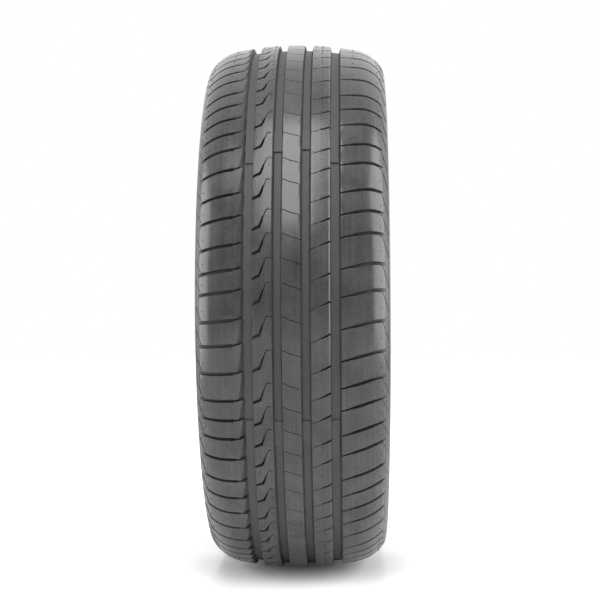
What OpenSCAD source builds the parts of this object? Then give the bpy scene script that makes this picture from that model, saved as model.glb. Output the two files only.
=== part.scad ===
// Passenger car tyre, moulded as one piece of rubber, unmounted.
// Modelled round Z and laid over at the end: the spin axis is Y and Z is up.
// Seen from +X, the shoulder called left here lies on the -Y side.
// Section outlines are written as [radius, axial place].

/* [Size] */
// Outside diameter at the middle of the tread
outer_d = 632; // [620:1:644]
// Width over both sidewalls
section_w = 207.2; // [204:0.2:211]
// Diameter of the rim's bead seat
seat_d = 405.6; // [401:0.2:410]
// Width between the rim's flanges
rim_w = 165; // [160:0.5:168]

/* [Crown and sidewall] */
// Radius of the crown, across the tread
crown_radius = 361; // [320:1:420]
// Width of the tread that the crown's arc covers
crown_w = 141; // [138:1:144]
// Radius of the shoulder below the crown
shoulder_radius = 44; // [43:0.5:46]
// How far the foot of the shoulder lies inside the sidewall
shoulder_inset = 1.6; // [1.2:0.1:2.4]
// Height of the widest place above the bead seat
widest_h = 59; // [56:1:62]
// Radius of the sidewall below its widest place
lower_wall_radius = 100; // [90:1:110]
// Rubber and cord between the tread's surface and the inner liner
crown_t = 14.5; // [13:0.5:16]
// Wall at the sidewall's widest place
side_t = 8; // [7:0.5:10]
// Radius of the inside of the sidewall
inner_wall_radius = 45; // [43:1:48]

/* [Bead] */
// Width of the bead's foot from heel to toe
bead_w = 21; // [19:0.5:23]
// Radius of the bead's heel
heel_radius = 5.5; // [4:0.5:6.5]
// Radius of the rim flange that the bead hugs
flange_radius = 10; // [9:0.5:11]
// How far the rim protector stands above the seat
protector_h = 27; // [26:0.5:28]
// Radius of the rim protector's ridge
protector_radius = 6.5; // [6:0.5:7.5]
// Inset of the rim protector's ridge from the widest place
protector_inset = 2; // [1.5:0.5:3.5]

/* [Main grooves] */
// Depth of the four main grooves
groove_depth = 6.5; // [5.5:0.5:7.5]
// Axial place of the two outer grooves
outer_groove_z = 45.8; // [45.4:0.2:46.2]
// Width of the two outer grooves
outer_groove_w = 11.2; // [10:0.2:12]
// Axial place of the two inner grooves
inner_groove_z = 15; // [14.5:0.5:15.5]
// Width of the two inner grooves
inner_groove_w = 10.8; // [10:0.2:11.6]
// Lean of the groove walls
groove_draft = 17; // [12:1:19]
// Height of the tread wear bars on the groove floors
wear_bar_h = 1.6; // [1:0.2:2.4]
// Length of a wear bar round the tyre
wear_bar_l = 10; // [6:1:14]

/* [Shoulder grooves] */
// Depth of the cross grooves in both shoulders
cross_depth = 5.5; // [4.5:0.5:6]
// Width of a cross groove's broad outer stretch
cross_w = 3.2; // [2.6:0.1:3.6]
// Width of a cross groove's narrow inner stretch
cross_narrow_w = 1.4; // [1.2:0.1:1.8]
// Axial place where a cross groove turns from narrow to broad
cross_step_z = 61.5; // [60:0.5:63]
// Axial place where the cross grooves run out
cross_end_z = 98; // [96:0.5:99]
// Slope of the left cross grooves, narrow stretch
left_narrow_slope = 13; // [8:1:16]
// Slope of the left cross grooves, broad stretch
left_slope = 6; // [3:1:9]
// Slope of the right cross grooves, narrow stretch
right_slope = 14; // [10:1:17]
// Slope of the right cross grooves, broad stretch
right_outer_slope = 9; // [4:1:12]
// How far the foot of each left shoulder block is cut back
saw_tooth = 3.2; // [2.4:0.2:4]
// Lean of the saw-tooth edge's face
saw_lean = 36; // [30:2:40]

/* [Rib cuts] */
// Depth of the notches and slots in the ribs
notch_depth = 5.5; // [4.5:0.5:6]
// Width of a notch's broad end
notch_w = 2.8; // [2.2:0.1:3.2]
// Width of the slots in the right rib at their broad end
slot_w = 1.9; // [1.5:0.1:2.3]
// Width of a sipe
sipe_w = 0.9; // [0.8:0.1:1.2]
// How far round the centre sipes lead the notches, in degrees
centre_lead = 4.05; // [3.8:0.05:4.3]
// How far round the slots trail the right cross grooves, in degrees
slot_trail = 0.64; // [0.4:0.04:0.9]

/* [Hidden] */
$fn = 240;

// Order of short, medium and long pitches, from just above the front downwards.
// The three tracks are each pitched in their own order, to break up the tread's hum.
left_run = str("MSSSSMLMLMSLMLLSSMLMMLLM", "SSSLLLSSSMSSLSSMSSLLLSSSMMSLMMMLMLLSSLLMSSMMLSSMMSSS");
middle_run = str("SSSLMLSLSSSLLLSSSSSMSSM", "MMSMMSLLSSLLSMMMSSSLLSSLLLSMMMSSMMMSLLMSLSSS");
right_run = str("LLLLSSMSLSSLMLLMSMSLSSSML", "SSMMLLSSMSSSLLSSSMSMMSLMSMMSSSMMSSSLLSSSLLLM");
left_start = 54.5;
middle_start = 58.1;
right_start = 71.7;

outer_r = outer_d / 2;
seat_r = seat_d / 2;
half_w = section_w / 2;
flange_z = rim_w / 2;
toe_z = flange_z - bead_w;
widest_r = seat_r + widest_h;
// Everything cut from outside starts this far above the tread
clear = 4;

// Crown and shoulder arcs, tangent where they meet
crown_c = [outer_r - crown_radius, 0];
crown_a = asin(crown_w / 2 / crown_radius);
crown_end = at(crown_c, crown_radius, crown_a);
shoulder_c = at(crown_c, crown_radius - shoulder_radius, crown_a);
shoulder_a = asin((half_w - shoulder_inset - shoulder_c[1]) / shoulder_radius);
shoulder_end = at(shoulder_c, shoulder_radius, shoulder_a);

// Sidewall arc through the foot of the shoulder and the widest place
wall_rise = shoulder_end[0] - widest_r;
wall_radius = (pow(shoulder_inset, 2) + pow(wall_rise, 2)) / 2 / shoulder_inset;
wall_c = [widest_r, half_w - wall_radius];
wall_a = atan2(shoulder_end[1] - wall_c[1], shoulder_end[0] - wall_c[0]);
lower_wall_c = [widest_r, half_w - lower_wall_radius];
protector_c = [seat_r + protector_h, half_w - protector_inset - protector_radius];
lower_wall_a = 90 + asin((widest_r - protector_c[0] - protector_radius) / lower_wall_radius);
flange_c = [seat_r + flange_radius - 1, flange_z + flange_radius];
heel_c = [seat_r + heel_radius, flange_z - heel_radius];
step_radius = 1.2;

// Inside of the sidewall, down to the straight inner face of the bead
inner_wall_c = [widest_r - 6, half_w - side_t - inner_wall_radius];
inner_wall_a = 130;
bead_knee = [seat_r + 8, toe_z + 8];
toe_h = 2;

// Length over which a cross groove's floor rises to its end
cross_runout = 14;
saw_top = outer_groove_z + outer_groove_w / 2;
// Height of the saw-tooth edge's foot above the groove's floor
tooth_lift = 0.6;

// Turn of one straight step of an outline, outside and in the air chamber
arc_step = 11;
chamber_step = 22;
units = [["S", 6], ["M", 7], ["L", 8]];

// Point at a distance and direction from a centre, in a section
function at(c, rad, a) = [c[0] + rad * cos(a), c[1] + rad * sin(a)];

// Radius of the tread's surface at an axial place
function surface_r(z) = abs(z) < crown_end[1]
    ? crown_c[0] + sqrt(pow(crown_radius, 2) - z * z)
    : shoulder_c[0] + sqrt(pow(shoulder_radius, 2) - pow(abs(z) - shoulder_c[1], 2));

// Length of a pitch in units, and the sum of a run's first n pitches
function pitch_units(letter) = units[search(letter, units)[0]][1];
function run_units(run, n) = n == 0 ? 0 : pitch_units(run[n - 1]) + run_units(run, n - 1);

// Angles at which a run's pitches begin
function run_angles(run, start) = let (whole = run_units(run, len(run)))
    [for (n = [0:len(run) - 1]) start - 360 * run_units(run, n) / whole];

// Outline of a cut that follows a path of [along, axial, width] points
function side_of(p, q) = let (d = [q[0] - p[0], q[1] - p[1]]) [-d[1], d[0]] / norm(d);
function path_normal(path, i) = side_of(path[max(i - 1, 0)], path[min(i + 1, len(path) - 1)]);
function stroke(path) = concat(
    [for (i = [0:len(path) - 1])
        [path[i][0], path[i][1]] + path_normal(path, i) * path[i][2] / 2],
    [for (i = [len(path) - 1:-1:0])
        [path[i][0], path[i][1]] - path_normal(path, i) * path[i][2] / 2]
);

// Points along an arc in straight steps of about one size, without the point it starts from
function arc(c, rad, a0, a1, step = arc_step) =
    let (n = max(1, round(abs(a1 - a0) / step)))
    [for (i = [1:n]) at(c, rad, a0 + (a1 - a0) * i / n)];

// Piece of a disc between two directions
module sector(c, rad, a0, a1, step = arc_step) {
    polygon(concat([c, at(c, rad, a0)], arc(c, rad, a0, a1, step)));
}

// One half of the outside of the section, from the crown to the bead
module outer_half() {
    sector(protector_c, protector_radius, 30, 165, 27);
    polygon(concat(
        [[seat_r, 0], [outer_r, 0]],
        arc(crown_c, crown_radius, 0, crown_a, crown_a / 4),
        arc(shoulder_c, shoulder_radius, crown_a, shoulder_a),
        arc(wall_c, wall_radius, wall_a, 90),
        arc(lower_wall_c, lower_wall_radius, 90, lower_wall_a),
        [
            at(protector_c, protector_radius, 90),
            at(protector_c, protector_radius, 150),
            [flange_c[0], flange_z + heel_radius],
            at(heel_c, heel_radius, 90)
        ],
        arc(heel_c, heel_radius, 90, 180, 30)
    ));
}

// One half of the air chamber, open between the beads
module chamber_half() {
    sector(shoulder_c, shoulder_radius - crown_t, crown_a, shoulder_a, chamber_step);
    sector(inner_wall_c, inner_wall_radius, 20, inner_wall_a, chamber_step);
    polygon([
        [outer_r - crown_t, 0],
        at(crown_c, crown_radius - crown_t, crown_a),
        shoulder_c,
        at(inner_wall_c, inner_wall_radius, 60),
        inner_wall_c,
        at(inner_wall_c, inner_wall_radius, inner_wall_a),
        bead_knee,
        [seat_r + toe_h, toe_z],
        [seat_r - bead_w, toe_z],
        [seat_r - bead_w, -1],
        [seat_r, -1]
    ]);
}

// Section of the moulded rubber, without its tread grooves
module section() {
    difference() {
        union() {
            outer_half();
            mirror([0, 1])
                outer_half();
        }
        chamber_half();
        mirror([0, 1])
            chamber_half();
        for (side = [-1, 1]) {
            // hollow that hugs the rim's flange
            translate([flange_c[0], side * flange_c[1]])
                circle(flange_radius);
            // step line round the foot of the shoulder
            translate([shoulder_end[0], side * shoulder_end[1]])
                circle(step_radius, $fn = 60);
        }
    }
}

// One main groove, with its tread wear bars left standing
module main_groove(z, w) {
    top = surface_r(z);
    lean = tan(groove_draft);
    floor_r = top - groove_depth;
    difference() {
        rotate_extrude()
            polygon([
                [floor_r, z - w / 2 + groove_depth * lean],
                [floor_r, z + w / 2 - groove_depth * lean],
                [top + clear, z + w / 2 + clear * lean],
                [top + clear, z - w / 2 - clear * lean]
            ]);
        for (a = [33:60:359])
            rotate([0, 0, a])
                translate([floor_r - 1, -wear_bar_l / 2, z - w])
                    cube([wear_bar_h + 1, wear_bar_l, 2 * w]);
    }
}

// Stretch of a cross groove over the given axial places: a slice whose floor follows the tread.
// It slopes about its own place at the step from narrow to broad.
module cross_cut(side, places, w, slope) {
    floor = [for (z = places)
        [surface_r(z) - cross_depth * min(1, (cross_end_z - z) / cross_runout), z]];
    z0 = places[0];
    z1 = places[len(places) - 1];
    translate([0, 0, side * cross_step_z])
        rotate([slope, 0, 0])
            translate([0, 0, -side * cross_step_z])
                scale([1, 1, side])
                    rotate([90, 0, 0])
                        linear_extrude(w, center = true)
                            polygon(concat(floor, [[outer_r + clear, z1], [outer_r + clear, z0]]));
}

// Cut straight down into a rib, with a flat floor, from a plan of [along, axial] points
module rib_cut(plan, floor_r) {
    translate([floor_r, 0, 0])
        rotate([90, 0, 90])
            linear_extrude(outer_r + clear - floor_r)
                polygon(plan);
}

// Cross groove of one shoulder: a narrow inner stretch and a broad one that runs out outside
module cross_groove(side, narrow_slope, broad_slope) {
    mid_z = cross_end_z - cross_runout;
    cross_cut(side, [outer_groove_z + 2, cross_step_z], cross_narrow_w, narrow_slope);
    cross_cut(side, [cross_step_z - 0.5, mid_z, cross_end_z], cross_w, broad_slope);
}

module left_shoulder_cuts() {
    for (a = run_angles(left_run, left_start))
        rotate([0, 0, a])
            cross_groove(1, left_narrow_slope, left_slope);
}

// Saw-tooth edge of the left outer groove: one leaning face to a pitch, cut furthest back
// at the lower end of the block
module saw_tooth_cuts() {
    angles = run_angles(left_run, left_start);
    groove_floor_r = surface_r(outer_groove_z) - groove_depth;
    face_rise = surface_r(saw_top) - groove_floor_r;
    for (i = [0:len(angles) - 1]) {
        next = i + 1 < len(angles) ? angles[i + 1] : angles[0] - 360;
        half_l = (angles[i] - next) / 2 * PI / 180 * surface_r(saw_top);
        rotate([0, 0, (angles[i] + next) / 2])
            translate([groove_floor_r, 0, saw_top + saw_tooth / 2])
                rotate([90 - atan(saw_tooth / 2 / half_l), 0, 0])
                    linear_extrude(2 * half_l, center = true)
                        polygon([
                            [tooth_lift, -outer_groove_w / 2],
                            [tooth_lift, (tooth_lift - face_rise) * tan(saw_lean)],
                            [face_rise + clear, clear * tan(saw_lean)],
                            [face_rise + clear, -outer_groove_w / 2]
                        ]);
    }
}

// Left rib: a notch that starts broad at the outer groove and leaves as a thin sipe
module left_rib_cuts() {
    plan = stroke([
        [-1.4, 44, notch_w],
        [3.7, 33.2, notch_w],
        [12.9, 30.4, notch_w * 0.7],
        [22.6, 26, sipe_w],
        [22.8, 18, sipe_w]
    ]);
    for (a = run_angles(middle_run, middle_start))
        rotate([0, 0, a])
            rib_cut(plan, surface_r(30) - notch_depth);
}

// Centre rib: a thin slanting sipe from groove to groove
module centre_rib_cuts() {
    plan = stroke([
        [0.8, 12, sipe_w],
        [-8, -12, sipe_w]
    ]);
    for (a = run_angles(middle_run, middle_start + centre_lead))
        rotate([0, 0, a])
            rib_cut(plan, surface_r(0) - notch_depth);
}

// Right rib: a slot that broadens towards the outer groove
module right_rib_cuts() {
    plan = stroke([
        [-9.2, -18, sipe_w],
        [-4.4, -30, sipe_w],
        [1.6, -43, slot_w * 1.3]
    ]);
    for (a = run_angles(right_run, right_start - slot_trail))
        rotate([0, 0, a])
            rib_cut(plan, surface_r(30) - notch_depth);
}

// Right shoulder: its grooves climb over the tread and level out on the shoulder
module right_shoulder_cuts() {
    lift = (cross_step_z - outer_groove_z) * tan(right_slope) / outer_r * 180 / PI;
    for (a = run_angles(right_run, right_start + lift))
        rotate([0, 0, a])
            cross_groove(-1, right_slope, right_outer_slope);
}

module tyre() {
    color([0.16, 0.16, 0.165])
        rotate([90, 0, 0])
            difference() {
                rotate_extrude()
                    section();
                for (side = [-1, 1]) {
                    main_groove(side * inner_groove_z, inner_groove_w);
                    main_groove(side * outer_groove_z, outer_groove_w);
                }
                left_shoulder_cuts();
                saw_tooth_cuts();
                right_shoulder_cuts();
                left_rib_cuts();
                centre_rib_cuts();
                right_rib_cuts();
            }
}

tyre();
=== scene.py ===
from math import asin, cos, hypot, pi, radians, sin, sqrt, tan

import bmesh
import bpy
from mathutils import Matrix, Vector


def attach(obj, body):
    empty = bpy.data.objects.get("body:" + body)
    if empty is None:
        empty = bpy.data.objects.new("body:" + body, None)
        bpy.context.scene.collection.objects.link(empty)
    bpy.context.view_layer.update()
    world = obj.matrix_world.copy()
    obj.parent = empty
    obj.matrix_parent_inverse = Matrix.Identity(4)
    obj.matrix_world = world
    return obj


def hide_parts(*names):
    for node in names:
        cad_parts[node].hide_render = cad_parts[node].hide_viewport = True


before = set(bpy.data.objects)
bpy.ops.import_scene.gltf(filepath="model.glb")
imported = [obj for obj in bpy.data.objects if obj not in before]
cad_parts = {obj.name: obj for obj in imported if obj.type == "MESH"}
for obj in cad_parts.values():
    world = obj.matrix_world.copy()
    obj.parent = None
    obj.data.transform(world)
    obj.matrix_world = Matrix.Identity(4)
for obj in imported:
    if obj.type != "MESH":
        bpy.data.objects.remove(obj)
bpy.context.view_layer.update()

# Sizes in millimetres, as in the part's source
OUTER_R = 316.0
HALF_W = 103.6
SEAT_R = 202.8
FLANGE_Y = 82.5
CROWN_RADIUS = 361.0
CROWN_HALF = 70.5
SHOULDER_RADIUS = 44.0
SHOULDER_INSET = 1.6
WIDEST_H = 59.0
LOWER_WALL_RADIUS = 100.0
CROWN_T = 14.5
SIDE_T = 8.0
INNER_WALL_RADIUS = 45.0
BEAD_W = 21.0
HEEL_RADIUS = 5.5
FLANGE_RADIUS = 10.0
PROTECTOR_H = 27.0
PROTECTOR_RADIUS = 6.5
PROTECTOR_INSET = 2.0
GROOVE_DEPTH = 6.5
GROOVE_DRAFT = 17.0
CROSS_DEPTH = 5.5
CROSS_END_Y = 98.0
WEAR_BAR_H = 1.6

# The blocks' feet reach this far down, 1 mm into the floor of the main grooves
BLOCK_DEPTH = GROOVE_DEPTH + 1
# How far the walls of the main grooves lean out on their way down
LEAN = GROOVE_DEPTH * tan(radians(GROOVE_DRAFT))

# Arcs of the section, tangent where they meet. A run is a length along them from the middle.
WIDEST_R = SEAT_R + WIDEST_H
CROWN_TILT = asin(CROWN_HALF / CROWN_RADIUS)
CROWN_RUN = CROWN_RADIUS * CROWN_TILT
SHOULDER_Y = (CROWN_RADIUS - SHOULDER_RADIUS) * sin(CROWN_TILT)
SHOULDER_R = OUTER_R - CROWN_RADIUS + (CROWN_RADIUS - SHOULDER_RADIUS) * cos(CROWN_TILT)
FOOT_TILT = asin((HALF_W - SHOULDER_INSET - SHOULDER_Y) / SHOULDER_RADIUS)
FOOT_RUN = CROWN_RUN + SHOULDER_RADIUS * (FOOT_TILT - CROWN_TILT)
FOOT_R = SHOULDER_R + SHOULDER_RADIUS * cos(FOOT_TILT)
GROOVE_END_TILT = asin((CROSS_END_Y - SHOULDER_Y) / SHOULDER_RADIUS)
GROOVE_END_RUN = CROWN_RUN + SHOULDER_RADIUS * (GROOVE_END_TILT - CROWN_TILT)

# Order of short, medium and long pitches on the three tracks, with their lengths in units and
# the angle above the front, in degrees, at which each order starts. The first string of an
# order is read off the photo, and the second goes on round the back in the same manner.
PITCH_UNITS = {"S": 6, "M": 7, "L": 8}
LEFT_ORDER = "MSSSSMLMLMSLMLLSSMLMMLLM" "SSSLLLSSSMSSLSSMSSLLLSSSMMSLMMMLMLLSSLLMSSMMLSSMMSSS"
MIDDLE_ORDER = "SSSLMLSLSSSLLLSSSSSMSSM" "MMSMMSLLSSLLSMMMSSSLLSSLLLSMMMSSMMMSLLMSLSSS"
RIGHT_ORDER = "LLLLSSMSLSSLMLLMSMSLSSSML" "SSMMLLSSMSSSLLSSSMSMMSLMSMMSSSMMSSSLLSSSLLLM"
LEFT_START = 54.5
MIDDLE_START = 58.1
RIGHT_START = 71.7
# How far the centre sipes lead the notches, and the slots trail the right cross grooves, in degrees
CENTRE_LEAD = 4.05
SLOT_TRAIL = 0.64
# Power by which the saw-tooth cut fades from a block's low end to its high end
TOOTH_FADE = 1.3

# Edges that bend by less than this are smooth
SMOOTH_BELOW = radians(20)
# Places closer than this are the same
SAME = 0.01


def tread_place(run):
    """Axial place, radius and tilt of the tread's surface at a run across it from the middle."""
    side = -1 if run < 0 else 1
    run = abs(run)
    if run < CROWN_RUN:
        tilt = run / CROWN_RADIUS
        y = CROWN_RADIUS * sin(tilt)
        r = OUTER_R - CROWN_RADIUS + CROWN_RADIUS * cos(tilt)
    else:
        tilt = CROWN_TILT + (run - CROWN_RUN) / SHOULDER_RADIUS
        y = SHOULDER_Y + SHOULDER_RADIUS * sin(tilt)
        r = SHOULDER_R + SHOULDER_RADIUS * cos(tilt)
    return side * y, r, side * tilt


def pitch_marks(order, start):
    """Places round the tyre, in millimetres at its outside, where the pitches of a track begin."""
    whole = sum(PITCH_UNITS[p] for p in order)
    marks = [start]
    for p in order:
        marks.append(marks[-1] - 360 * PITCH_UNITS[p] / whole)
    return [radians(m) * OUTER_R for m in marks]


def along(table, at):
    """Value read off a table of (place, value) rows, straight between rows."""
    if at <= table[0][0]:
        return table[0][1]
    for (p0, v0), (p1, v1) in zip(table, table[1:]):
        if at <= p1:
            return v0 + (v1 - v0) * (at - p0) / (p1 - p0)
    return table[-1][1]


def cut_line(path, run, near=0.4):
    """Climb and gap, measured round the tyre, of a cut at a run across the tread. Its path is
    a table of (run, climb, width), and its slope is taken between points near the run."""
    climbs = [(p, c) for p, c, w in path]
    width = along([(p, w) for p, c, w in path], run)
    rise = (along(climbs, run + near) - along(climbs, run - near)) / (2 * near)
    return along(climbs, run), width * sqrt(1 + rise * rise)


def new_piece(name, bm, materials):
    """Turns a bmesh in millimetres into a piece in metres that rides with the tyre."""
    bmesh.ops.scale(bm, vec=(0.001, 0.001, 0.001), verts=bm.verts)
    bmesh.ops.recalc_face_normals(bm, faces=bm.faces)
    for e in bm.edges:
        e.smooth = len(e.link_faces) == 2 and e.calc_face_angle(0) < SMOOTH_BELOW
    for f in bm.faces:
        f.smooth = True
    mesh = bpy.data.meshes.new(name)
    bm.to_mesh(mesh)
    bm.free()
    piece = bpy.data.objects.new(name, mesh)
    bpy.context.scene.collection.objects.link(piece)
    for m in materials:
        mesh.materials.append(m)
    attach(piece, "root")
    return piece


def wrap(verts):
    """Bends flat work, drawn as (round, across, height), on to the tread's section and round the tyre."""
    for v in verts:
        s, run, h = v.co
        y, r, tilt = tread_place(run)
        y += h * sin(tilt)
        r += h * cos(tilt)
        v.co = (r * cos(s / OUTER_R), y, r * sin(s / OUTER_R))


def add_block(bm, columns, depth, steps, lean, chamfers, tooth=0.0, sink=0.0):
    """One tread block. columns hold (run, low, high) across the tread; at the block's low end the
    first column's top moves by tooth. lean spreads the block's foot at its first and last column,
    chamfers are the widths at the first column, the last column and the cut edges, and sink
    lowers the last column's top. Walls take the piece's second material."""
    last = len(columns) - 1
    grid = bmesh.ops.create_grid(bm, x_segments=steps, y_segments=last, size=1)["verts"]
    place = {}
    for v in grid:
        i = round((v.co.x + 1) / 2 * steps)
        j = round((v.co.y + 1) / 2 * last)
        run, low, high = columns[j]
        share = i / steps
        place[v] = j
        v.co = (low + (high - low) * share, run, 0)
    faces = list({f for v in grid for f in v.link_faces})
    made = bmesh.ops.extrude_face_region(bm, geom=faces, use_keep_orig=True)["geom"]
    tops = {g for g in made if isinstance(g, bmesh.types.BMFace)}
    for f in {f for v in grid for f in v.link_faces}:
        f.material_index = 1
    top_verts = {v for f in tops for v in f.verts}
    outward = 1 if columns[-1][0] > columns[0][0] else -1
    for v in grid:
        v.co.z = -depth
        if place[v] == 0:
            v.co.y -= outward * lean[0]
        if place[v] == last:
            v.co.y += outward * lean[1]
    run, low, high = columns[0]
    for v in top_verts:
        if abs(v.co.y - run) < SAME:
            v.co.y += tooth * max(0, (high - v.co.x) / (high - low)) ** TOOTH_FADE
    firsts, lasts, cuts = [], [], []
    first_run = sorted([run, run + tooth])
    last_run = columns[-1][0]
    for e in {e for f in tops for e in f.edges}:
        if sum(f in tops for f in e.link_faces) != 1:
            continue
        runs = [v.co.y for v in e.verts]
        if all(first_run[0] - SAME <= y <= first_run[1] + SAME for y in runs):
            firsts.append(e)
        elif all(abs(y - last_run) <= SAME for y in runs):
            lasts.append(e)
        else:
            cuts.append(e)
    if sink:
        for v in top_verts:
            if abs(v.co.y - last_run) < SAME:
                v.co.z -= sink
    every = set(grid) | top_verts
    for edges, width in zip((firsts, lasts, cuts), chamfers):
        edges = [e for e in edges if e.is_valid]
        if width and edges:
            res = bmesh.ops.bevel(bm, geom=edges, offset=width, offset_type="OFFSET",
                                  segments=2 if width < 1 else 1, profile=0.5, affect="EDGES",
                                  clamp_overlap=True, material=-1)
            every |= set(res["verts"])
            for f in res["faces"]:
                f.material_index = 0
    return [v for v in every if v.is_valid]


def add_track(name, marks, runs, path, lean, chamfers, tooth=0.0, sink=0.0):
    """A ring of blocks between cuts that repeat at the marks of a track. Where all runs lie on one
    side of the middle the path counts them outward; tooth cuts the blocks' first column back."""
    one_sided = min(runs) * max(runs) > 0
    bm = bmesh.new()
    for high_mark, low_mark in zip(marks, marks[1:]):
        columns = []
        for run in runs:
            climb, gap = cut_line(path, abs(run) if one_sided else run)
            columns.append((run, low_mark + climb + gap / 2, high_mark + climb - gap / 2))
        wrap(add_block(bm, columns, BLOCK_DEPTH, steps=4, lean=lean, chamfers=chamfers, tooth=tooth,
                       sink=sink))
    # block walls and feet take the lightened groove rubber, painted fill light on the walls
    return new_piece(name, bm, [tread_rubber, groove_rubber_painted_fill])


# Colours and materials

def linear(hex_colour):
    """sRGB hex to the linear colour that shaders take."""
    parts = [int(hex_colour[i:i + 2], 16) / 255 for i in (1, 3, 5)]
    return tuple(c / 12.92 if c <= 0.04045 else ((c + 0.055) / 1.055) ** 2.4 for c in parts) + (1.0,)


def add_node(tree, kind, settings=None, inputs=None):
    """Adds a node; settings are its properties, and inputs are values or sockets linked to it."""
    node = tree.nodes.new(kind)
    for key, value in (settings or {}).items():
        setattr(node, key, value)
    for key, value in (inputs or {}).items():
        if isinstance(value, bpy.types.NodeSocket):
            tree.links.new(value, node.inputs[key])
        else:
            node.inputs[key].default_value = value
    return node


def ramp(tree, value, low, high, at_low, at_high):
    """Value that goes straight from one to another as the input goes from low to high."""
    return add_node(tree, "ShaderNodeMapRange", inputs={"Value": value, "From Min": low, "From Max": high,
                                                        "To Min": at_low, "To Max": at_high}).outputs[0]


def new_material(name):
    material = bpy.data.materials.new(name)
    material.use_nodes = True
    material.node_tree.nodes.clear()
    return material, material.node_tree


def moulded_rubber(name, dark, light, roughness, grain):
    """Carbon-black rubber from a steel mould: a dull, nearly black skin with a faint bloom, small
    colour drift, and a fine grain that only breaks up the gloss."""
    material, tree = new_material(name)
    place = add_node(tree, "ShaderNodeTexCoord").outputs["Object"]
    # bloom drifts over about 40 mm, wiping streaks are 2 to 3 mm wide and follow the tyre round,
    # specks are about 1.5 mm and the mould's grain about 0.8 mm
    drift = add_node(tree, "ShaderNodeTexNoise",
                     inputs={"Vector": place, "Scale": 25.0, "Detail": 4.0, "Roughness": 0.6})
    drawn = add_node(tree, "ShaderNodeMapping", inputs={"Vector": place, "Scale": (9.0, 420.0, 9.0)})
    streak = add_node(tree, "ShaderNodeTexNoise",
                      inputs={"Vector": drawn.outputs[0], "Scale": 1.0, "Detail": 2.0})
    speck = add_node(tree, "ShaderNodeTexNoise",
                     inputs={"Vector": place, "Scale": 650.0, "Detail": 2.0, "Roughness": 0.5})
    fine = add_node(tree, "ShaderNodeMath", {"operation": "MULTIPLY_ADD"},
                    {0: speck.outputs["Fac"], 1: 0.8, 2: drift.outputs["Fac"]})
    blend = add_node(tree, "ShaderNodeMath", {"operation": "MULTIPLY_ADD"},
                     {0: streak.outputs["Fac"], 1: 0.5, 2: fine.outputs[0]})
    shade = ramp(tree, blend.outputs[0], 0.85, 1.45, 0.0, 1.0)
    colour = add_node(tree, "ShaderNodeMix", {"data_type": "RGBA"},
                      {0: shade, 6: linear(dark), 7: linear(light)})
    gloss = ramp(tree, blend.outputs[0], 0.85, 1.45, roughness - 0.05, roughness + 0.06)
    skin = add_node(tree, "ShaderNodeTexNoise", inputs={"Vector": place, "Scale": 1250.0, "Detail": 2.0})
    bump = add_node(tree, "ShaderNodeBump",
                    inputs={"Strength": grain, "Distance": 0.0004, "Height": skin.outputs["Fac"]})
    shader = add_node(tree, "ShaderNodeBsdfPrincipled",
                      inputs={"Base Color": colour.outputs[2], "Roughness": gloss,
                              "Normal": bump.outputs["Normal"], "IOR": 1.52})
    add_node(tree, "ShaderNodeOutputMaterial", inputs={"Surface": shader.outputs[0]})
    return material


# Tread rubber: filled with carbon black and silica, cured against polished mould segments
tread_rubber = moulded_rubber("Moulded tread rubber", "#222223", "#464647", 0.21, 0.15)
# The same rubber in the grooves and on the blocks' walls, cured against the mould's blasted fins, which
# leave it dull; its lighter colour is painted fill light that lifts the shade in the grooves and on the
# walls
groove_rubber_painted_fill = moulded_rubber("Groove rubber lightened as painted fill", "#3c3c3d", "#484849", 0.6, 0.2)
# Sidewall rubber: a softer black compound, cured against the mould's smooth side plates
sidewall_rubber = moulded_rubber("Moulded sidewall rubber", "#2d2d2e", "#38383a", 0.26, 0.2)
# Vent rubber: tread rubber pressed into the mould's vent holes and trimmed off, with a torn, matt end; its
# colour is painted far darker than the tread's, painted shade for the stubs' small shadows
vent_rubber_painted_shade = moulded_rubber("Vent rubber darkened as painted shade", "#121213", "#19191a", 0.6, 0.1)
# Inner liner: airtight butyl rubber, cured against a rubber bladder, matt
liner_rubber = moulded_rubber("Butyl inner liner", "#2b2b2c", "#343435", 0.5, 0.3)


# Carcass: one closed ring with groove floors, shoulders, sidewalls, beads and air chamber

def arc(centre, radius, a0, a1, steps):
    """Points of an arc as (y, r); angles are measured from the outward radius towards +Y."""
    return [(centre[0] + radius * sin(a0 + (a1 - a0) * k / steps),
             centre[1] + radius * cos(a0 + (a1 - a0) * k / steps)) for k in range(steps + 1)]


def floor_h(run):
    """How far the ground between the blocks lies from the tread's surface: main grooves, then
    cross grooves that run out on the shoulder."""
    return along([(0, -GROOVE_DEPTH), (52, -GROOVE_DEPTH), (56, -CROSS_DEPTH), (88, -CROSS_DEPTH),
                  (GROOVE_END_RUN, 0), (FOOT_RUN, 0)], run)


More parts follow.
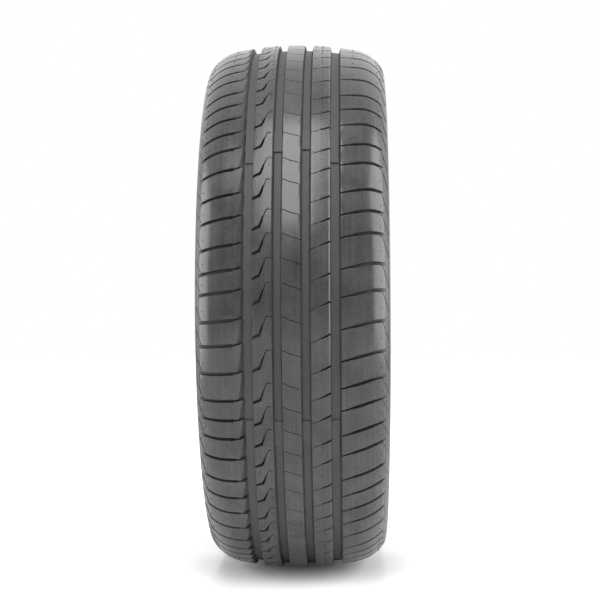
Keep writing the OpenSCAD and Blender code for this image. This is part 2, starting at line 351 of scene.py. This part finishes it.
def half_outline():
    """Right half of the carcass's outline, from the middle of the tread to that of the chamber."""
    points = []
    runs = [0, 10, 20, 30, 40, 47, 52, 56, 62, 68, 74, 79, 84, 88, 92, 96, 100, 102.5, GROOVE_END_RUN,
            106.5, 108.5, 110.5, FOOT_RUN - 0.9]
    for run in runs:
        y, r, tilt = tread_place(run)
        points.append((y + floor_h(run) * sin(tilt), r + floor_h(run) * cos(tilt)))
    # fine line at the foot of the shoulder, then the sidewall
    rise = FOOT_R - WIDEST_R
    wall_radius = (SHOULDER_INSET ** 2 + rise ** 2) / 2 / SHOULDER_INSET
    wall = arc((HALF_W - wall_radius, WIDEST_R), wall_radius, pi / 2 - asin(rise / wall_radius), pi / 2, 8)
    points.append((wall[0][0] - 1.0, wall[0][1] + 0.6))
    points.append((wall[0][0] - 1.0, wall[0][1] - 0.5))
    points += [(y, r) for y, r in wall if r < wall[0][1] - 1.2]
    protector = (HALF_W - PROTECTOR_INSET - PROTECTOR_RADIUS, SEAT_R + PROTECTOR_H)
    low = asin((WIDEST_R - protector[1] - PROTECTOR_RADIUS) / LOWER_WALL_RADIUS)
    points += arc((HALF_W - LOWER_WALL_RADIUS, WIDEST_R), LOWER_WALL_RADIUS, pi / 2, pi / 2 + low, 6)[1:]
    points += arc(protector, PROTECTOR_RADIUS, radians(50), radians(150), 7)
    flange = (FLANGE_Y + FLANGE_RADIUS, SEAT_R + FLANGE_RADIUS - 1)
    points += arc(flange, FLANGE_RADIUS, radians(-5), radians(-75), 6)
    heel = (FLANGE_Y - HEEL_RADIUS, SEAT_R + HEEL_RADIUS)
    points += arc(heel, HEEL_RADIUS, radians(90), radians(180), 5)
    toe_y = FLANGE_Y - BEAD_W
    points += [(toe_y + 0.8, SEAT_R), (toe_y, SEAT_R + 2), (toe_y + 8, SEAT_R + 8)]
    inner = (HALF_W - SIDE_T - INNER_WALL_RADIUS, WIDEST_R - 6)
    points += arc(inner, INNER_WALL_RADIUS, radians(130), radians(70), 8)
    for run in [106, 98, 90, 82, 74, 64, 54, 40, 20, 0]:
        y, r, tilt = tread_place(run)
        points.append((y - CROWN_T * sin(tilt), r - CROWN_T * cos(tilt)))
    return points


def add_carcass():
    """Spins the outline round the axle and gives each stretch of it its rubber."""
    bm = bmesh.new()
    right = half_outline()
    left = [(-y, r) for y, r in right[-2:0:-1]]
    verts = [bm.verts.new((r, y, 0)) for y, r in right + left]
    edges = [bm.edges.new((a, b)) for a, b in zip(verts, verts[1:] + verts[:1])]
    bmesh.ops.spin(bm, geom=verts + edges, cent=(0, 0, 0), axis=(0, 1, 0), dvec=(0, 0, 0),
                   angle=2 * pi, steps=360, use_merge=True)
    bmesh.ops.remove_doubles(bm, verts=bm.verts, dist=0.001)
    # the groove floors take the lightened groove rubber, painted fill light in the grooves
    piece = new_piece("carcass", bm, [groove_rubber_painted_fill, sidewall_rubber, liner_rubber])
    # the sidewall's rubber reaches up over the shoulder to this far from the middle
    sidewall_from = 92
    for p in piece.data.polygons:
        c = p.center * 1000
        r = hypot(c.x, c.z)
        facing = (c.x * p.normal.x + c.z * p.normal.z) / r
        turned_in = facing < 0.05 and p.normal.y * c.y <= 0.001 * abs(c.y)
        in_chamber = turned_in and r > SEAT_R + 3 and abs(c.y) < HALF_W - SIDE_T + 0.4
        # the liner wraps round the bead's toe and foot
        if in_chamber or (facing < -0.5 and r < SEAT_R + 3):
            p.material_index = 2
        elif abs(c.y) > sidewall_from or r < FOOT_R:
            p.material_index = 1
    return piece


carcass = add_carcass()
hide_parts("tyre")

# Tread blocks, track by track. Paths are tables of (run, climb, width).
left_marks = pitch_marks(LEFT_ORDER, LEFT_START)
middle_marks = pitch_marks(MIDDLE_ORDER, MIDDLE_START)
right_marks = pitch_marks(RIGHT_ORDER, RIGHT_START)

left_path = [(47.5, 0.0, 2.0), (61.3, -3.2, 2.0), (61.9, -3.3, 3.8), (84.6, -5.6, 3.9), (105.5, -7.6, 3.9)]
right_path = [(47.5, 0.0, 1.9), (61.3, 3.45, 1.9), (63.5, 4.0, 3.5), (76, 7.0, 3.5), (82, 8.3, 3.6),
              (88, 9.0, 3.6), (105.5, 9.6, 3.5)]
notch_path = [(18, 22.3, 0.6), (26.2, 22.3, 0.6), (29.4, 13.6, 0.8), (29.9, 12.2, 2.1), (32.4, 5.4, 2.7),
              (33.4, 3.6, 3.1), (44, -1.7, 3.2)]
centre_path = [(-12, 0.3, 0.6), (-8.5, -0.4, 0.6), (-1.5, -3.9, 0.6), (4.5, -5.2, 0.6), (9.5, -7.6, 0.6),
               (12, -8.4, 0.6)]
slot_path = [(18, -9.2, 0.6), (24, -6.8, 0.6), (30, -4.4, 0.6), (31, -4.0, 1.4), (37.5, -0.9, 2.2),
             (43, 1.6, 2.2)]

shoulder_runs = [56, 61, 62.2, 68, 74, 79, 84.6, 88, 91, 94, 97, 100, 103, 105.4]

add_track("left_shoulder_blocks", left_marks, [-52.2] + [-r for r in shoulder_runs],
          left_path, (1.5, 0), (0, 0, 0.4), tooth=-4.2, sink=0.35)
add_track("right_shoulder_blocks", right_marks, [51.7] + shoulder_runs,
          right_path, (1.3, 0), (0.5, 0, 0.5), sink=0.35)
add_track("left_rib_blocks", middle_marks,
          [-40.6, -38, -35.6, -34.0, -33.0, -32.4, -31.2, -29.9, -29.4, -27.8, -26.8, -26.2, -23, -20.6],
          notch_path, (LEAN, LEAN), (0.5, 0.4, 0.25))
add_track("right_rib_blocks", pitch_marks(RIGHT_ORDER, RIGHT_START - SLOT_TRAIL),
          [20.3, 24, 29, 31, 34, 37.5, 40.0], slot_path, (LEAN, LEAN), (0.5, 1.3, 0.25))
add_track("centre_rib_blocks", pitch_marks(MIDDLE_ORDER, MIDDLE_START + CENTRE_LEAD),
          [-9.8, -8.5, -5, -1.5, 2, 4.5, 7, 9.5], centre_path, (LEAN, LEAN), (0.4, 0.9, 0.25))


def add_wear_bars():
    """Low bars across the four main grooves, six times round. Spots are (run, angle above the
    front in degrees, length round the tyre)."""
    spots = ((-46.0, 33.3, 43), (-15.3, 34.5, 30), (14.9, 34.75, 27), (45.6, 33.3, 43))
    half_w = 4.5
    bm = bmesh.new()
    for turn in range(6):
        for run, start, length in spots:
            s = radians(start + 60 * turn) * OUTER_R
            columns = [(run + side * half_w, s - length / 2, s + length / 2) for side in (-1, 1)]
            verts = add_block(bm, columns, depth=3.0, steps=8, lean=(0, 0), chamfers=(0, 0, 0.5))
            for v in verts:
                v.co.z -= GROOVE_DEPTH - WEAR_BAR_H
            wrap(verts)
    return new_piece("wear_bars", bm, [groove_rubber_painted_fill, groove_rubber_painted_fill])


def add_shoulder_lines():
    """Fine ridges, one to a pitch, that run from each cross groove's end over the shoulder's foot."""
    half_w = 0.55
    height = 0.4
    bm = bmesh.new()
    for marks, path, side, fall in ((left_marks, left_path, -1, 1.5), (right_marks, right_path, 1, -1.9)):
        for mark in marks[:-1]:
            columns = []
            for run in (99, 102, 105, 108, FOOT_RUN - 2):
                middle = mark + path[-1][1] + fall * (run - 98)
                columns.append((side * run, middle - half_w, middle + half_w))
            verts = add_block(bm, columns, depth=1.2, steps=1, lean=(0, 0), chamfers=(0, 0, 0.2))
            for v in verts:
                v.co.z += height
            wrap(verts)
    return new_piece("shoulder_lines", bm, [tread_rubber, groove_rubber_painted_fill])


def add_vent_nubs():
    """Short stubs of rubber, 0.55 mm high, left by the mould's vent holes. Tracks are (marks, run,
    shares of a pitch at which the stubs stand)."""
    tracks = ((left_marks, -97.5, (0.2, 0.82)), (left_marks, -70, (0.5,)), (middle_marks, -38, (0.45,)),
              (middle_marks, -24, (0.3, 0.6)), (right_marks, 31, (0.2, 0.45, 0.7)),
              (right_marks, 23, (0.35,)), (right_marks, 66, (0.5,)), (right_marks, 97, (0.3, 0.75)))
    bm = bmesh.new()
    for marks, run, shares in tracks:
        for high, low in zip(marks, marks[1:]):
            for share in shares:
                made = bmesh.ops.create_cone(bm, cap_ends=True, segments=8, radius1=0.65, radius2=0.45,
                                             depth=1.0)["verts"]
                for v in made:
                    v.co = (v.co.x + high + (low - high) * share, v.co.y + run, v.co.z + 0.05)
                wrap(made)
    return new_piece("vent_nubs", bm, [vent_rubber_painted_shade])


add_wear_bars()
add_shoulder_lines()
add_vent_nubs()

# Stage: pale floor, soft studio light, camera
floor_bm = bmesh.new()
bmesh.ops.create_grid(floor_bm, x_segments=1, y_segments=1, size=8)
bmesh.ops.translate(floor_bm, vec=(0, 0, -OUTER_R / 1000), verts=floor_bm.verts)
floor_mesh = bpy.data.meshes.new("studio_floor")
floor_bm.to_mesh(floor_mesh)
floor_bm.free()
studio_floor = bpy.data.objects.new("studio_floor", floor_mesh)
bpy.context.scene.collection.objects.link(studio_floor)

floor_paint, tree = new_material("White studio floor")
paint = add_node(tree, "ShaderNodeBsdfDiffuse", inputs={"Color": linear("#fafafa")})
seen = add_node(tree, "ShaderNodeLightPath")
# Its own glow fades where the tyre stands, a painted shadow under the tyre, and grows away from it into
# the white backdrop. The camera sees one glow, and other rays carry a weaker one to the tyre: painted
# light from a floor that is no lamp, fading near the contact into painted shade on the tyre's bottom.
reach = add_node(tree, "ShaderNodeVectorMath", {"operation": "LENGTH"},
                 {0: add_node(tree, "ShaderNodeTexCoord").outputs["Object"]}).outputs["Value"]
seen_glow_and_painted_shadow = add_node(tree, "ShaderNodeMath", {"operation": "ADD"},
                     {0: ramp(tree, reach, 0.317, 0.35, 0.03, 0.36),
                      1: ramp(tree, reach, 0.45, 1.3, 0.0, 0.65)})
painted_floor_light = ramp(tree, reach, 0.318, 0.42, 0.04, 0.33)
strength = add_node(tree, "ShaderNodeMix", {"data_type": "FLOAT"},
                    {0: seen.outputs["Is Camera Ray"], 2: painted_floor_light, 3: seen_glow_and_painted_shadow.outputs[0]})
glow = add_node(tree, "ShaderNodeEmission",
                inputs={"Color": linear("#ffffff"), "Strength": strength.outputs[0]})
choice = add_node(tree, "ShaderNodeAddShader", inputs={0: paint.outputs[0], 1: glow.outputs[0]})
add_node(tree, "ShaderNodeOutputMaterial", inputs={"Surface": choice.outputs[0]})
floor_mesh.materials.append(floor_paint)

world = bpy.data.worlds.new("Studio")
world.use_nodes = True
bpy.context.scene.world = world
tree = world.node_tree
tree.nodes.clear()
path_kind = add_node(tree, "ShaderNodeLightPath")
# The room fills softly, the camera sees plain white, and gloss mirrors walls that are
# brighter behind the tyre than behind the camera
facing = add_node(tree, "ShaderNodeSeparateXYZ",
                  inputs={0: add_node(tree, "ShaderNodeTexCoord").outputs["Generated"]})
walls = ramp(tree, facing.outputs["X"], -0.3, 1.0, 1.0, 0.52)
seen_share = add_node(tree, "ShaderNodeMath", {"operation": "MULTIPLY_ADD"},
                      {0: path_kind.outputs["Is Camera Ray"], 1: 0.72, 2: 0.28})
strength = add_node(tree, "ShaderNodeMath", {"operation": "MULTIPLY_ADD"},
                    {0: path_kind.outputs["Is Glossy Ray"], 1: walls, 2: seen_share.outputs[0]})
room = add_node(tree, "ShaderNodeBackground",
                inputs={"Color": linear("#ffffff"), "Strength": strength.outputs[0]})
add_node(tree, "ShaderNodeOutputWorld", inputs={"Surface": room.outputs[0]})


def softbox(name, place, aim, width, height, power):
    """Rectangular lamp at a place, aimed at a point, with its sides in metres and power in watts."""
    lamp = bpy.data.lights.new(name, "AREA")
    lamp.shape = "RECTANGLE"
    lamp.size = width
    lamp.size_y = height
    lamp.energy = power
    box = bpy.data.objects.new(name, lamp)
    box.location = place
    box.rotation_euler = (Vector(aim) - Vector(place)).to_track_quat("-Z", "Y").to_euler()
    bpy.context.scene.collection.objects.link(box)
    return box


# One softbox mirrors as the bright band on the ribs, the side ones as bands on both shoulders,
# and the high one only fills the grooves
softbox("softbox_above", (1.28, -0.09, 1.81), (0.25, -0.02, 0.1), 0.75, 2.0, 25)
softbox("softbox_left", (0.1, -1.5, 0.1), (0.1, -0.09, 0.1), 1.09, 1.7, 19)
softbox("softbox_right", (0.27, 1.5, 0.45), (0.27, 0.09, 0.45), 1.34, 2.3, 34)
softbox("softbox_above_left", (1.15, -0.75, 1.85), (0.25, -0.05, 0.15), 0.6, 0.6, 2)
fill = softbox("softbox_high", (1.3, 0.0, 1.9), (0.25, 0.0, 0.1), 1.2, 1.2, 12)
fill.visible_glossy = False

# Camera, fitted to the photo's outline and tread edges
distance = 1.903
yaw = radians(1.648)
roll = radians(-0.2965)
side_axis = Vector((-sin(yaw), cos(yaw), 0))
back_axis = Vector((cos(yaw), sin(yaw), 0))
up_axis = Vector((0, 0, 1))
camera_data = bpy.data.cameras.new("Camera")
camera_data.sensor_width = 36
camera_data.lens = 92.87
camera_data.shift_y = 0.01015
camera = bpy.data.objects.new("Camera", camera_data)
right_axis = cos(roll) * side_axis + sin(roll) * up_axis
top_axis = -sin(roll) * side_axis + cos(roll) * up_axis
camera.matrix_world = Matrix.Translation(distance * back_axis) @ Matrix(
    (right_axis, top_axis, back_axis)).transposed().to_4x4()
bpy.context.scene.collection.objects.link(camera)
bpy.context.scene.camera = camera
bpy.context.scene.view_settings.view_transform = "Standard"
